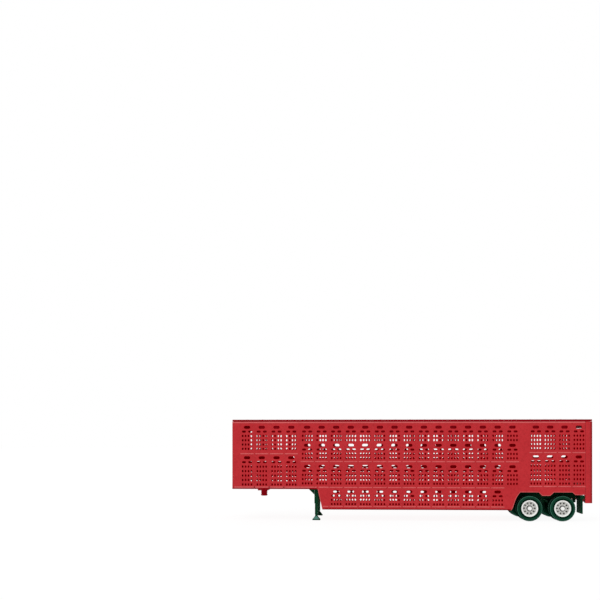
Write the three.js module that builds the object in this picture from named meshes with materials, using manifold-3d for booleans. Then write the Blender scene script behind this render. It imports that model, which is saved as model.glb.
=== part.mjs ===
// A 1:87 scale model of a 48-foot pot-belly livestock semi-trailer, as a snap-together plastic kit.
// Millimetres, +Z up. The trailer runs along X with its nose at -X; its left side faces -Y.
// The origin is on the ground, below the middle of the whole model.
import * as THREE from "three";
import { mergeVertices } from "three/addons/utils/BufferGeometryUtils.js";
import Module from "manifold-3d";

const wasm = await Module();
wasm.setup();

// ---- Driving dimensions ------------------------------------------------------------------------

const NOSE_X = -84.1; // front face
const TAIL_X = 84.1; // rear face of the rear frame
const HALF_WIDTH = 14.9; // outer face of a side wall
const WALL = 0.9; // side and front walls
const DECK = 0.8; // floors and decks
const GAP = 0.1; // between pieces that touch

const WALL_TOP_Z = 46.6;
const ROOF_EDGE_Z = 47.6;
const ROOF_CROWN_Z = 47.8;
const NOSE_BOTTOM_Z = 14.8;
const BELLY_Z = 5.2; // underside of the belly
const NOSE_STEP_TOP_X = -43.6; // slanted front of the belly
const NOSE_STEP_BOTTOM_X = -41.45;
const BELLY_END_X = 46.8;
const REAR_FRAME_X = 81.0; // where the side walls end and the rear frame begins

const INNER = HALF_WIDTH - WALL - GAP; // half width of whatever stands between the walls

const TYRE_RADIUS = 6.0;
const TYRE_WIDTH = 3.0;
const TYRE_BORE = 4.05;
const DUAL_SPACING = 3.8; // centre to centre of the two tyres of a pair
const WHEEL_PAIR_Y = 11.0; // middle of a pair
const AXLE_Z = TYRE_RADIUS;
const AXLES_X = { front: 55.5, rear: 70.7 };
const SPINDLE_RADIUS = 0.6;
const RUNNING_GAP = 0.06;

const LEG_X = -44.4; // landing gear legs
const LEG_Y = 11.5;

// ---- Materials ---------------------------------------------------------------------------------

const plastic = (color) => new THREE.MeshStandardMaterial({ color, roughness: 0.45, metalness: 0 });
const RED = plastic(0xbe2a38);
const ROOF_RED = plastic(0x9c1420);
const GREEN = plastic(0x1d4a36);
const TYRE_GREEN = new THREE.MeshStandardMaterial({ color: 0x1f4435, roughness: 0.7, metalness: 0 });
const SILVER = new THREE.MeshStandardMaterial({ color: 0xc8c9c4, roughness: 0.35, metalness: 0.4 });
const STEEL = new THREE.MeshStandardMaterial({ color: 0x8f9190, roughness: 0.3, metalness: 0.9 });

// ---- Shape helpers -----------------------------------------------------------------------------

const trailer = new THREE.Group();

function piece(name, geometry, material, at = [0, 0, 0]) {
  const mesh = new THREE.Mesh(geometry, material);
  mesh.name = name;
  mesh.position.set(...at);
  trailer.add(mesh);
  return mesh;
}

// A box from its lowest and highest corner.
function block([x0, y0, z0], [x1, y1, z1]) {
  return new THREE.BoxGeometry(x1 - x0, y1 - y0, z1 - z0).translate((x0 + x1) / 2, (y0 + y1) / 2, (z0 + z1) / 2);
}

function outline(points) {
  return new THREE.Shape(points.map(([a, b]) => new THREE.Vector2(a, b)));
}

// A shape drawn in X and Z, as thick as from y0 to y1.
function sideOn(shape, y0, y1, curveSegments = 6) {
  const solid = new THREE.ExtrudeGeometry(shape, { depth: y1 - y0, bevelEnabled: false, curveSegments });
  return solid.rotateX(Math.PI / 2).translate(0, y1, 0);
}

// A shape drawn in Y and Z, as long as from x0 to x1.
function endOn(shape, x0, x1) {
  const solid = new THREE.ExtrudeGeometry(shape, { depth: x1 - x0, bevelEnabled: false, curveSegments: 8 });
  const turn = new THREE.Matrix4().makeBasis(
    new THREE.Vector3(0, 1, 0),
    new THREE.Vector3(0, 0, 1),
    new THREE.Vector3(1, 0, 0),
  );
  return solid.applyMatrix4(turn).translate(x0, 0, 0);
}

// The span from y0 to y1 away from the middle, on the side that is -1 or 1.
function fromTo(side, y0, y1) {
  return side < 0 ? [-y1, -y0] : [y0, y1];
}

// A solid of revolution about Y, from [radius, y] pairs that run from low y to high y on the outside.
function turned(profile, segments) {
  return new THREE.LatheGeometry(profile.map(([r, y]) => new THREE.Vector2(r, y)), segments);
}

function upright(geometry) {
  return geometry.rotateX(Math.PI / 2);
}

function toSolid(geometry) {
  const bare = geometry.clone();
  bare.deleteAttribute("normal");
  bare.deleteAttribute("uv");
  const merged = mergeVertices(bare, 1e-4);
  return new wasm.Manifold(
    new wasm.Mesh({
      numProp: 3,
      vertProperties: merged.attributes.position.array,
      triVerts: new Uint32Array(merged.index.array),
    }),
  );
}

function toGeometry(solid) {
  const { vertProperties, triVerts } = solid.getMesh();
  const geometry = new THREE.BufferGeometry();
  geometry.setAttribute("position", new THREE.BufferAttribute(vertProperties, 3));
  geometry.setIndex(new THREE.BufferAttribute(triVerts, 1));
  return geometry;
}

function joined(...geometries) {
  return toGeometry(geometries.map(toSolid).reduce((whole, next) => whole.add(next)));
}

function cut(geometry, ...tools) {
  return toGeometry(tools.map(toSolid).reduce((whole, tool) => whole.subtract(tool), toSolid(geometry)));
}

// ---- Side walls --------------------------------------------------------------------------------

// Each section is a run of equal panels; each tier of a panel has its wide top vent at vents.
const SLOT = { width: 2.8, height: 1.1 };
const SECTIONS = [
  { first: -77.1, pitch: 7.0, count: 4, vents: [44.0, 29.6] },
  { first: -48.6, pitch: 6.857, count: 15, vents: [44.0, 35.5, 25.5] },
  { first: -48.6 + 2 * 6.857, pitch: 6.857, count: 12, vents: [13.7] },
  { first: 58.2, pitch: 6.6, count: 4, vents: [44.0, 30.1] },
];

const ARCH_TOP_Z = 13.6;
const ARCH_LIP_Z = 12.0;
const TAIL_BOTTOM_Z = 12.4;

function wallShape() {
  const shape = new THREE.Shape();
  shape.moveTo(NOSE_X, NOSE_BOTTOM_Z);
  shape.lineTo(NOSE_STEP_TOP_X, NOSE_BOTTOM_Z);
  shape.lineTo(NOSE_STEP_BOTTOM_X, BELLY_Z);
  shape.lineTo(BELLY_END_X, BELLY_Z);
  shape.bezierCurveTo(48.3, 6.6, 47.9, 10.2, 51.0, ARCH_TOP_Z);
  shape.lineTo(59.5, ARCH_TOP_Z);
  shape.lineTo(61.2, ARCH_LIP_Z);
  shape.lineTo(64.8, ARCH_LIP_Z);
  shape.lineTo(66.5, ARCH_TOP_Z);
  shape.lineTo(75.0, ARCH_TOP_Z);
  shape.lineTo(76.5, TAIL_BOTTOM_Z);
  shape.lineTo(REAR_FRAME_X - GAP, TAIL_BOTTOM_Z);
  shape.lineTo(REAR_FRAME_X - GAP, WALL_TOP_Z);
  shape.lineTo(NOSE_X, WALL_TOP_Z);
  return shape;
}

function ventCutters(y0, y1) {
  const [w, h] = [SLOT.width / 2, SLOT.height / 2];
  return SECTIONS.flatMap(({ first, pitch, count, vents }) =>
    Array.from({ length: count }, (_, i) => first + i * pitch).flatMap((x) =>
      vents.map((z) => block([x - w, y0 - 1, z - h], [x + w, y1 + 1, z + h])),
    ),
  );
}

function sideWall(y0, y1) {
  return cut(sideOn(wallShape(), y0, y1), ...ventCutters(y0, y1));
}

piece("left_side_wall", sideWall(-HALF_WIDTH, -HALF_WIDTH + WALL), RED);
piece("right_side_wall", sideWall(HALF_WIDTH - WALL, HALF_WIDTH), RED);

// ---- Nose, roof and rear frame -----------------------------------------------------------------

piece("front_wall", block([NOSE_X, -INNER, NOSE_BOTTOM_Z], [NOSE_X + WALL, INNER, WALL_TOP_Z]), RED);

const ROOF_HALF_WIDTH = 14.5;
function roofSection() {
  const shape = new THREE.Shape();
  shape.moveTo(-ROOF_HALF_WIDTH, WALL_TOP_Z + GAP);
  shape.lineTo(ROOF_HALF_WIDTH, WALL_TOP_Z + GAP);
  shape.lineTo(ROOF_HALF_WIDTH, ROOF_EDGE_Z);
  shape.quadraticCurveTo(0, 2 * ROOF_CROWN_Z - ROOF_EDGE_Z, -ROOF_HALF_WIDTH, ROOF_EDGE_Z);
  return shape;
}
piece("roof", endOn(roofSection(), NOSE_X, TAIL_X), ROOF_RED);

// A skirt below each edge of the roof, inside the wall: it backs the top row of vents.
const SKIRT = { front: -74.0, rear: 77.0, inside: 13.1, outside: 13.7, bottom: 41.3 };
for (const [label, side] of [["left", -1], ["right", 1]]) {
  const [y0, y1] = fromTo(side, SKIRT.inside, SKIRT.outside);
  const strip = block([SKIRT.front, y0, SKIRT.bottom], [SKIRT.rear, y1, WALL_TOP_Z]);
  piece(`${label}_roof_skirt`, strip, ROOF_RED);
}

const FRAME = {
  bottom: 8.6,
  bumperTop: 10.9,
  sillBottom: 14.9,
  sillTop: 16.6,
  headerBottom: 43.8,
  postInside: 12.55,
};

function rearFrameShape() {
  const shape = outline([
    [-HALF_WIDTH, FRAME.bottom],
    [-FRAME.postInside, FRAME.bottom],
    [-FRAME.postInside, FRAME.sillBottom],
    [FRAME.postInside, FRAME.sillBottom],
    [FRAME.postInside, FRAME.bottom],
    [HALF_WIDTH, FRAME.bottom],
    [HALF_WIDTH, WALL_TOP_Z],
    [-HALF_WIDTH, WALL_TOP_Z],
  ]);
  shape.holes.push(
    outline([
      [-FRAME.postInside, FRAME.sillTop],
      [-FRAME.postInside, FRAME.headerBottom],
      [FRAME.postInside, FRAME.headerBottom],
      [FRAME.postInside, FRAME.sillTop],
    ]),
  );
  return shape;
}

// ---- Rear doors on their hinge pins ------------------------------------------------------------

// Each door swings about a pin inside its outer edge; the pin's ends sit in the sill and the header.
const DOOR = {
  inside: 0.15, // from the middle of the trailer
  bottom: FRAME.sillTop + 0.2,
  top: FRAME.headerBottom - 0.2,
  thickness: 1.0,
};
const HINGE = { x: 83.0, y: 11.95, pinRadius: 0.16, boreRadius: 0.22, low: 15.85, high: 44.55 };
const ROUND_SIDES = 16;

function uprightRod(radius, y, z0, z1) {
  const rod = new THREE.CylinderGeometry(radius, radius, z1 - z0, ROUND_SIDES);
  return upright(rod).translate(HINGE.x, y, (z0 + z1) / 2);
}

const pinHoles = [-HINGE.y, HINGE.y].map((y) => uprightRod(HINGE.boreRadius, y, HINGE.low, HINGE.high));
piece("rear_frame", cut(endOn(rearFrameShape(), REAR_FRAME_X, TAIL_X), ...pinHoles), RED);

const DOOR_VENTS = { across: [3.6, 6.6, 9.6], levels: [41.2, 32.4, 23.6], width: 2.6, height: 1.0 };

function doorVents(side) {
  return DOOR_VENTS.levels.flatMap((z) =>
    DOOR_VENTS.across.map((y) => {
      const [y0, y1] = fromTo(side, y - DOOR_VENTS.width / 2, y + DOOR_VENTS.width / 2);
      return block([HINGE.x - 1, y0, z - DOOR_VENTS.height / 2], [HINGE.x + 1, y1, z + DOOR_VENTS.height / 2]);
    }),
  );
}

function doorLeaf(side) {
  const half = DOOR.thickness / 2;
  const [y0, y1] = fromTo(side, DOOR.inside, HINGE.y);
  const leaf = block([HINGE.x - half, y0, DOOR.bottom], [HINGE.x + half, y1, DOOR.top]);
  const roundEdge = uprightRod(half, side * HINGE.y, DOOR.bottom, DOOR.top);
  const bore = uprightRod(HINGE.boreRadius, side * HINGE.y, DOOR.bottom - 1, DOOR.top + 1);
  return cut(joined(leaf, roundEdge), bore, ...doorVents(side));
}

const HANDLE = { gap: 0.1, y0: 0.9, y1: 1.8, z0: 27.6, z1: 31.4, depth: 0.45 };
const handleX = HINGE.x + DOOR.thickness / 2 + HANDLE.gap;

for (const [label, side] of [["left", -1], ["right", 1]]) {
  piece(`${label}_door`, doorLeaf(side), RED);
  const pin = uprightRod(HINGE.pinRadius, side * HINGE.y, HINGE.low + GAP, HINGE.high - GAP);
  piece(`${label}_hinge_pin`, pin, STEEL);
  const [y0, y1] = fromTo(side, HANDLE.y0, HANDLE.y1);
  const handle = block([handleX, y0, HANDLE.z0], [handleX + HANDLE.depth, y1, HANDLE.z1]);
  piece(`${label}_door_handle`, handle, STEEL);
}

const bumperHalf = FRAME.postInside - GAP;
piece("rear_bumper", block([TAIL_X - 1.6, -bumperHalf, FRAME.bottom], [TAIL_X, bumperHalf, FRAME.bumperTop]), RED);

// ---- Floors, decks and belly -------------------------------------------------------------------

function deck(name, x0, x1, topZ) {
  piece(name, block([x0, -INNER, topZ - DECK], [x1, INNER, topZ]), RED);
}

const FLOOR_TOP_Z = 15.8;
const inFrontWall = NOSE_X + WALL + GAP;
deck("nose_floor", inFrontWall, -43.0, FLOOR_TOP_Z);
deck("nose_deck", inFrontWall, -53.4, 31.9);
deck("main_deck", -53.2, 50.4, 28.1);
deck("rear_floor", 50.5, REAR_FRAME_X - GAP, FLOOR_TOP_Z);
deck("rear_deck", 54.4, REAR_FRAME_X - GAP, 32.6);

// The middle floor has an open well near its rear end, where the ramp to the belly starts.
const WELL = { x0: 36.0, x1: 44.0, halfWidth: 6.0 };
const middleFloor = block([-42.9, -INNER, FLOOR_TOP_Z - DECK], [50.4, INNER, FLOOR_TOP_Z]);
const well = block([WELL.x0, -WELL.halfWidth, FLOOR_TOP_Z - 2], [WELL.x1, WELL.halfWidth, FLOOR_TOP_Z + 1]);
piece("middle_floor", cut(middleFloor, well), RED);

piece("belly_floor", block([NOSE_STEP_BOTTOM_X + 1.1, -INNER, BELLY_Z], [BELLY_END_X - 0.2, INNER, BELLY_Z + DECK]), RED);
const stepFront = outline([
  [NOSE_STEP_BOTTOM_X, BELLY_Z],
  [NOSE_STEP_BOTTOM_X + 0.9, BELLY_Z],
  [NOSE_STEP_TOP_X + 0.9, FLOOR_TOP_Z - DECK - GAP],
  [NOSE_STEP_TOP_X, FLOOR_TOP_Z - DECK - GAP],
]);
piece("belly_front_wall", sideOn(stepFront, -INNER, INNER), RED);
piece(
  "belly_rear_wall",
  block([BELLY_END_X - 1.0, -INNER, BELLY_Z + DECK + GAP], [BELLY_END_X - 0.2, INNER, FLOOR_TOP_Z - DECK - GAP]),
  RED,
);

// ---- Kingpin -----------------------------------------------------------------------------------

const KINGPIN_X = -70.7;
const KINGPIN_PLATE = { halfLength: 2.5, halfWidth: 5.5, thickness: 1.35 };
const plateTop = NOSE_BOTTOM_Z + 0.1;
const plateBottom = plateTop - KINGPIN_PLATE.thickness;
piece(
  "kingpin_plate",
  block(
    [KINGPIN_X - KINGPIN_PLATE.halfLength, -KINGPIN_PLATE.halfWidth, plateBottom],
    [KINGPIN_X + KINGPIN_PLATE.halfLength, KINGPIN_PLATE.halfWidth, plateTop],
  ),
  RED,
);
const kingpinProfile = [[0, -2.75], [1.2, -2.75], [1.6, -2.35], [1.6, -1.35], [1.4, -1.15], [1.4, 0], [0, 0]];
piece("kingpin", upright(turned(kingpinProfile, 20)), RED, [KINGPIN_X, 0, plateBottom - GAP]);

// ---- Landing gear ------------------------------------------------------------------------------

const LEG = {
  outerSize: 1.8,
  outerBottom: 7.9,
  innerSize: 1.35,
  innerBottom: 2.6,
  innerTop: 9.1,
  top: 13.9,
  footSize: [3.7, 3.2],
  footTop: 2.5,
};

const mountSection = outline([[-48.1, 14.9], [-47.3, LEG.top + GAP], [-43.75, LEG.top + GAP], [-43.75, 14.9]]);
const gussetSection = outline([[-48.0, 14.7], [-45.4, 12.1], [-45.4, 14.7]]);
const gussets = [-1, 1].map((side) => sideOn(gussetSection, side * LEG_Y - 0.6, side * LEG_Y + 0.6));
piece("landing_gear_mount", joined(sideOn(mountSection, -12.6, 12.6), ...gussets), GREEN);

function squareTube(size, bore, z0, z1) {
  const [a, b] = [size / 2, bore / 2];
  return cut(block([-a, -a, z0], [a, a, z1]), block([-b, -b, z0 - 1], [b, b, z1 - 0.3]));
}

function foot() {
  const [length, width] = LEG.footSize;
  const shape = outline([
    [-length / 2, 0],
    [length / 2, 0],
    [length / 2 - 0.1, 0.35],
    [0.6, 1.9],
    [0.475, LEG.footTop],
    [-0.475, LEG.footTop],
    [-0.6, 1.9],
    [-length / 2 + 0.1, 0.35],
  ]);
  return sideOn(shape, -width / 2, width / 2);
}

for (const [label, side] of [["left", -1], ["right", 1]]) {
  const at = [LEG_X, side * LEG_Y, 0];
  const bore = LEG.innerSize + 2 * RUNNING_GAP;
  piece(`${label}_outer_leg`, squareTube(LEG.outerSize, bore, LEG.outerBottom, LEG.top), GREEN, at);
  const half = LEG.innerSize / 2;
  piece(`${label}_inner_leg`, block([-half, -half, LEG.innerBottom], [half, half, LEG.innerTop]), GREEN, at);
  piece(`${label}_foot`, foot(), GREEN, at);
}

const braceHalf = LEG_Y - LEG.outerSize / 2 - GAP;
const brace = turned([[0, -braceHalf], [0.4, -braceHalf], [0.4, braceHalf], [0, braceHalf]], 12);
piece("leg_brace", brace, GREEN, [LEG_X, 0, 11.6]);

// ---- Tandem bogie ------------------------------------------------------------------------------

const RAIL = { y0: 5.6, y1: 7.0, bottom: 10.3, top: 14.9, front: 47.2, rear: 78.6 };
const TAIL_RAIL = { bottom: 12.2, rear: 80.6 };
const HANGERS = [{ x0: 47.6, x1: 48.8 }, { x0: 62.5, x1: 63.7 }, { x0: 77.4, x1: 78.6 }];
const HANGER_BOTTOM_Z = 8.4;

function bogieFrame() {
  const bars = [];
  for (const side of [-1, 1]) {
    const [y0, y1] = fromTo(side, RAIL.y0, RAIL.y1);
    bars.push(block([RAIL.front, y0, RAIL.bottom], [RAIL.rear, y1, RAIL.top]));
    bars.push(block([RAIL.rear - 1, y0, TAIL_RAIL.bottom], [TAIL_RAIL.rear, y1, RAIL.top]));
    for (const { x0, x1 } of HANGERS) bars.push(block([x0, y0, HANGER_BOTTOM_Z], [x1, y1, RAIL.bottom + 1]));
  }
  for (const { x0, x1 } of HANGERS) bars.push(block([x0, -RAIL.y0 - 0.5, 12.8], [x1, RAIL.y0 + 0.5, 14.8]));
  return joined(...bars);
}
piece("bogie_frame", bogieFrame(), GREEN);

const BEAM_RADIUS = 0.9;
function axle() {
  const [tip, shoulder] = [13.7, 7.4];
  const profile = [
    [0, -tip],
    [SPINDLE_RADIUS, -tip],
    [SPINDLE_RADIUS, -shoulder],
    [BEAM_RADIUS, -shoulder],
    [BEAM_RADIUS, shoulder],
    [SPINDLE_RADIUS, shoulder],
    [SPINDLE_RADIUS, tip],
    [0, tip],
  ];
  return turned(profile, 16);
}

const SPRING_END_Z = 9.1;
const SPRING_THICKNESS = 0.9;
function leafSpring(x0, x1) {
  const middle = (x0 + x1) / 2;
  const lowest = AXLE_Z + BEAM_RADIUS + GAP;
  const dip = 2 * lowest - SPRING_END_Z; // control point that puts the curve's middle on the axle
  const shape = new THREE.Shape();
  shape.moveTo(x0, SPRING_END_Z);
  shape.quadraticCurveTo(middle, dip, x1, SPRING_END_Z);
  shape.lineTo(x1, SPRING_END_Z + SPRING_THICKNESS);
  shape.quadraticCurveTo(middle, dip + SPRING_THICKNESS, x0, SPRING_END_Z + SPRING_THICKNESS);
  return shape;
}

// ---- Wheels: each pair of tyres sits on one dual rim -------------------------------------------

// Profiles run outwards along the wheel's own axis, from the middle of the pair.
function tyre() {
  const half = TYRE_WIDTH / 2;
  const wall = half - 0.05;
  return turned(
    [
      [TYRE_BORE, -half + 0.3],
      [TYRE_BORE + 0.5, -wall],
      [TYRE_RADIUS - 0.8, -half],
      [TYRE_RADIUS - 0.15, -half + 0.45],
      [TYRE_RADIUS, -half + 0.9],
      [TYRE_RADIUS, half - 0.9],
      [TYRE_RADIUS - 0.15, half - 0.45],
      [TYRE_RADIUS - 0.8, half],
      [TYRE_BORE + 0.5, wall],
      [TYRE_BORE, half - 0.3],
      [TYRE_BORE, -half + 0.3],
    ],
    24,
  );
}

const RIM_RADIUS = TYRE_BORE - 0.05;
const RIM_HALF = 3.2;
const HUB_FACE = 3.1;
function dualRim() {
  const bore = SPINDLE_RADIUS + RUNNING_GAP;
  return turned(
    [
      [bore, -RIM_HALF + 1.4],
      [3.2, -RIM_HALF + 1.4],
      [3.4, -RIM_HALF],
      [RIM_RADIUS, -RIM_HALF],
      [RIM_RADIUS, RIM_HALF],
      [3.55, RIM_HALF],
      [3.1, 2.2],
      [2.0, 2.0],
      [1.35, 2.5],
      [1.25, HUB_FACE],
      [bore, HUB_FACE],
      [bore, -RIM_HALF + 1.4],
    ],
    24,
  );
}

function hubCap() {
  return turned([[0, 0], [0.95, 0], [0.95, 0.25], [0.7, 0.55], [0, 0.65]], 16);
}

for (const [end, x] of Object.entries(AXLES_X)) {
  piece(`${end}_axle`, axle(), STEEL, [x, 0, AXLE_Z]);
  const [behind, ahead] = end === "front" ? [HANGERS[0].x1, HANGERS[1].x0] : [HANGERS[1].x1, HANGERS[2].x0];
  for (const [label, side] of [["left", -1], ["right", 1]]) {
    const [y0, y1] = fromTo(side, RAIL.y0, RAIL.y1);
    piece(`${end}_${label}_spring`, sideOn(leafSpring(behind + 0.15, ahead - 0.15), y0, y1), GREEN);
    const outwards = (distance) => [x, side * (WHEEL_PAIR_Y + distance), AXLE_Z];
    piece(`${end}_${label}_outer_tyre`, tyre(), TYRE_GREEN, outwards(DUAL_SPACING / 2));
    piece(`${end}_${label}_inner_tyre`, tyre(), TYRE_GREEN, outwards(-DUAL_SPACING / 2));
    const rim = piece(`${end}_${label}_rim`, dualRim(), SILVER, outwards(0));
    const cap = piece(`${end}_${label}_hub_cap`, hubCap(), SILVER, outwards(HUB_FACE + GAP));
    if (side < 0) for (const turnedAbout of [rim, cap]) turnedAbout.rotation.z = Math.PI;
  }
}

// ---- Mudflaps ----------------------------------------------------------------------------------

piece("mudflap_bar", block([78.9, -14.4, 10.6], [80.7, 14.4, TAIL_RAIL.bottom - GAP]), GREEN);
for (const [label, side] of [["left", -1], ["right", 1]]) {
  const [y0, y1] = fromTo(side, 5.8, 14.4);
  piece(`${label}_mudflap`, block([79.3, y0, 3.6], [79.9, y1, 10.5]), GREEN);
}

export default trailer;
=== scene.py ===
"""The looks of a 1:87 pot-belly livestock trailer: red moulded body, green running gear, silver rims."""

import math
from functools import partial

import bpy
from mathutils import Matrix, Vector
from mathutils.geometry import delaunay_2d_cdt


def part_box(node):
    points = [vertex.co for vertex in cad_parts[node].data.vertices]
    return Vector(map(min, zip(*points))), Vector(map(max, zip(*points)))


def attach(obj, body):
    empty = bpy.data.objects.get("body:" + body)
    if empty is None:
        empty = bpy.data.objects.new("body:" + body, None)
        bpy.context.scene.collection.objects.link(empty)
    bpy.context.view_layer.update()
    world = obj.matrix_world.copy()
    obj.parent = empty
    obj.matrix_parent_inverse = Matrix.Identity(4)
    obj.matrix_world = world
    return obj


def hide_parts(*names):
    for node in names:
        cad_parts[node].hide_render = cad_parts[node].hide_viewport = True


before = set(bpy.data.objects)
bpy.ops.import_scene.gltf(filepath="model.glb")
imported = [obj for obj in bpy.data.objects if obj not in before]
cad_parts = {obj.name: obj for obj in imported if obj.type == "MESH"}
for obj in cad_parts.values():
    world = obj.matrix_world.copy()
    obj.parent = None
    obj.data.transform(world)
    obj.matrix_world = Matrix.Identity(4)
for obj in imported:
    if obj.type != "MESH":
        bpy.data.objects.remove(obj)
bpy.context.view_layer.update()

# Shapes are worked out in millimetres, in the frame's own axes, and scaled once at the end.
MM = 0.001
SIDES = {"left": -1, "right": 1}  # the left side faces -Y
ENDS = ("front", "rear")


def box_mm(node):
    """A CAD node's lowest and highest corners."""
    low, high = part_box(node)
    return low / MM, high / MM


def centre_of(node):
    low, high = box_mm(node)
    return (low + high) / 2


# ---- Materials ----------------------------------------------------------------------------------

# Sizes of the patterns, and how far they go.
FLOW_MARK = 14.0
SPECK = 0.9
SPECK_SHARE = 0.55  # of the dark tone, in the middle of a speck
SKIN_GRAIN = 0.22
SKIN_DEPTH = 0.03
WORN_REACH = 0.09
STREAK = 0.5
WIRE_METALLIC = 0.85


def nodes_of(name):
    """A new material with its node tree and its shader."""
    material = bpy.data.materials.new(name)
    material.use_nodes = True
    return material, material.node_tree, material.node_tree.nodes["Principled BSDF"]


def noise(tree, coordinates, size_mm, detail=3.0):
    """A noise texture whose patches are about size_mm across."""
    node = tree.nodes.new("ShaderNodeTexNoise")
    node.inputs["Scale"].default_value = 1 / (size_mm * MM)
    node.inputs["Detail"].default_value = detail
    tree.links.new(coordinates, node.inputs["Vector"])
    return node.outputs["Fac"]


def remapped(tree, value, low, high, source=(0.3, 0.7)):
    """A value spread from its source range, by default that of most noise, to the range low to high."""
    node = tree.nodes.new("ShaderNodeMapRange")
    for socket, number in zip(("From Min", "From Max", "To Min", "To Max"), (*source, low, high)):
        node.inputs[socket].default_value = number
    tree.links.new(value, node.inputs["Value"])
    return node.outputs["Result"]


def blended(tree, factor, first, second):
    """A mix of two colours, each a colour or another node's output."""
    node = tree.nodes.new("ShaderNodeMix")
    node.data_type = "RGBA"
    tree.links.new(factor, node.inputs["Factor"])
    for socket, colour in (("A", first), ("B", second)):
        target = next(s for s in node.inputs if s.name == socket and s.type == "RGBA")
        if isinstance(colour, bpy.types.NodeSocket):
            tree.links.new(colour, target)
        else:
            target.default_value = (*colour, 1)
    return next(s for s in node.outputs if s.type == "RGBA")


def edge_factor(tree, radius_mm):
    """Near 1 on corners and edges, and 0 on open faces."""
    bevel = tree.nodes.new("ShaderNodeBevel")
    bevel.samples = 4
    bevel.inputs["Radius"].default_value = radius_mm * MM
    geometry = tree.nodes.new("ShaderNodeNewGeometry")
    dot = tree.nodes.new("ShaderNodeVectorMath")
    dot.operation = "DOT_PRODUCT"
    tree.links.new(bevel.outputs["Normal"], dot.inputs[0])
    tree.links.new(geometry.outputs["Normal"], dot.inputs[1])
    return remapped(tree, dot.outputs["Value"], 1.0, 0.0, source=(0.75, 0.995))


def moulded_plastic(name, shade, light, dark, roughness, worn=None, grain=0.12, gloss=0.2, painted_glow=None):
    """Injection-moulded plastic: cloudy flow marks from shade to light, dark specks and a fine skin texture.

    worn is the paler colour of handled edges, and the last argument a painted glow: light that the plastic
    gives off, the same all over, though no lamp lights it.
    """
    material, tree, shader = nodes_of(name)
    shader.inputs["Specular IOR Level"].default_value = gloss
    # A painted glow: the same emission all over, which lightens the colour where no lamp reaches.
    if painted_glow:
        shader.inputs["Emission Color"].default_value = (*painted_glow, 1)
        shader.inputs["Emission Strength"].default_value = 1.0
    at = tree.nodes.new("ShaderNodeTexCoord").outputs["Object"]
    clouds = noise(tree, at, FLOW_MARK)
    specks = noise(tree, at, SPECK, detail=5.0)
    colour = blended(tree, remapped(tree, clouds, 0.0, 1.0), shade, light)
    colour = blended(tree, remapped(tree, specks, 0.0, SPECK_SHARE, source=(0.45, 0.75)), colour, dark)
    if worn:
        colour = blended(tree, edge_factor(tree, WORN_REACH), colour, worn)
    tree.links.new(colour, shader.inputs["Base Color"])
    rough = remapped(tree, specks, roughness - 0.06, roughness + 0.1)
    tree.links.new(rough, shader.inputs["Roughness"])
    bump = tree.nodes.new("ShaderNodeBump")
    bump.inputs["Strength"].default_value = grain
    bump.inputs["Distance"].default_value = SKIN_DEPTH * MM
    tree.links.new(noise(tree, at, SKIN_GRAIN, detail=2.0), bump.inputs["Height"])
    tree.links.new(bump.outputs["Normal"], shader.inputs["Normal"])
    return material


def metal(name, shade, light, roughness):
    """Drawn wire: fine streaks in the tone and the roughness."""
    material, tree, shader = nodes_of(name)
    shader.inputs["Metallic"].default_value = WIRE_METALLIC
    at = tree.nodes.new("ShaderNodeTexCoord").outputs["Object"]
    streaks = noise(tree, at, STREAK, detail=4.0)
    colour = blended(tree, remapped(tree, streaks, 0.0, 1.0), shade, light)
    tree.links.new(colour, shader.inputs["Base Color"])
    tree.links.new(remapped(tree, streaks, roughness - 0.08, roughness + 0.1), shader.inputs["Roughness"])
    return material


RED = moulded_plastic(
    "red_plastic", roughness=0.42, worn=(0.50, 0.05, 0.055),
    shade=(0.42, 0.010, 0.016), light=(0.47, 0.016, 0.022), dark=(0.31, 0.004, 0.008))
# Painted highlight: a paler copy of the red for the ridges, rails, ribs and beads, as if their tops caught
# the light.
HIGHLIGHT_RED = moulded_plastic(
    "red_painted_highlight", roughness=0.40,
    shade=(0.53, 0.075, 0.080), light=(0.58, 0.10, 0.10), dark=(0.45, 0.04, 0.04))
# Painted shade: a darker copy of the red for the roof, the lower lines, the rear posts' edges, the roof
# skirts and the kingpin, with a faint painted glow.
SHADE_RED = moulded_plastic(
    "red_painted_shade", roughness=0.45, gloss=0.03, painted_glow=(0.055, 0.000, 0.001),
    shade=(0.17, 0.001, 0.004), light=(0.20, 0.001, 0.006), dark=(0.15, 0.001, 0.003))
# Painted light: a brighter copy of the red, with a painted glow, for the walls' inner faces, the holes'
# walls, the floors and the decks, which lie in shade.
LIT_INSIDE_RED = moulded_plastic(
    "inside_red_painted_light", roughness=0.5, gloss=0.0, painted_glow=(0.045, 0.000, 0.001),
    shade=(0.50, 0.002, 0.005), light=(0.56, 0.004, 0.007), dark=(0.42, 0.001, 0.002))
GREEN = moulded_plastic(
    "green_plastic", roughness=0.38, worn=(0.006, 0.06, 0.03), gloss=0.02,
    shade=(0.002, 0.032, 0.012), light=(0.004, 0.048, 0.020), dark=(0.001, 0.014, 0.005))
# Painted highlight: a paler copy of the green for the outboard slope of each landing foot.
HIGHLIGHT_GREEN = moulded_plastic(
    "green_painted_highlight", roughness=0.35,
    shade=(0.055, 0.19, 0.15), light=(0.09, 0.26, 0.21), dark=(0.02, 0.09, 0.07))
TYRE = moulded_plastic(
    "tyre_plastic", roughness=0.48, grain=0.3, gloss=0.05,
    shade=(0.002, 0.034, 0.016), light=(0.004, 0.048, 0.025), dark=(0.001, 0.014, 0.007))
# Painted shade: a darker copy of the tyre green for the tyres' grooves, shoulders and tread, and the rims'
# barrels.
TYRE_SHADE = moulded_plastic(
    "tyre_painted_shade", roughness=0.6, gloss=0.0,
    shade=(0.001, 0.010, 0.005), light=(0.001, 0.016, 0.008), dark=(0.0005, 0.005, 0.002))
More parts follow.
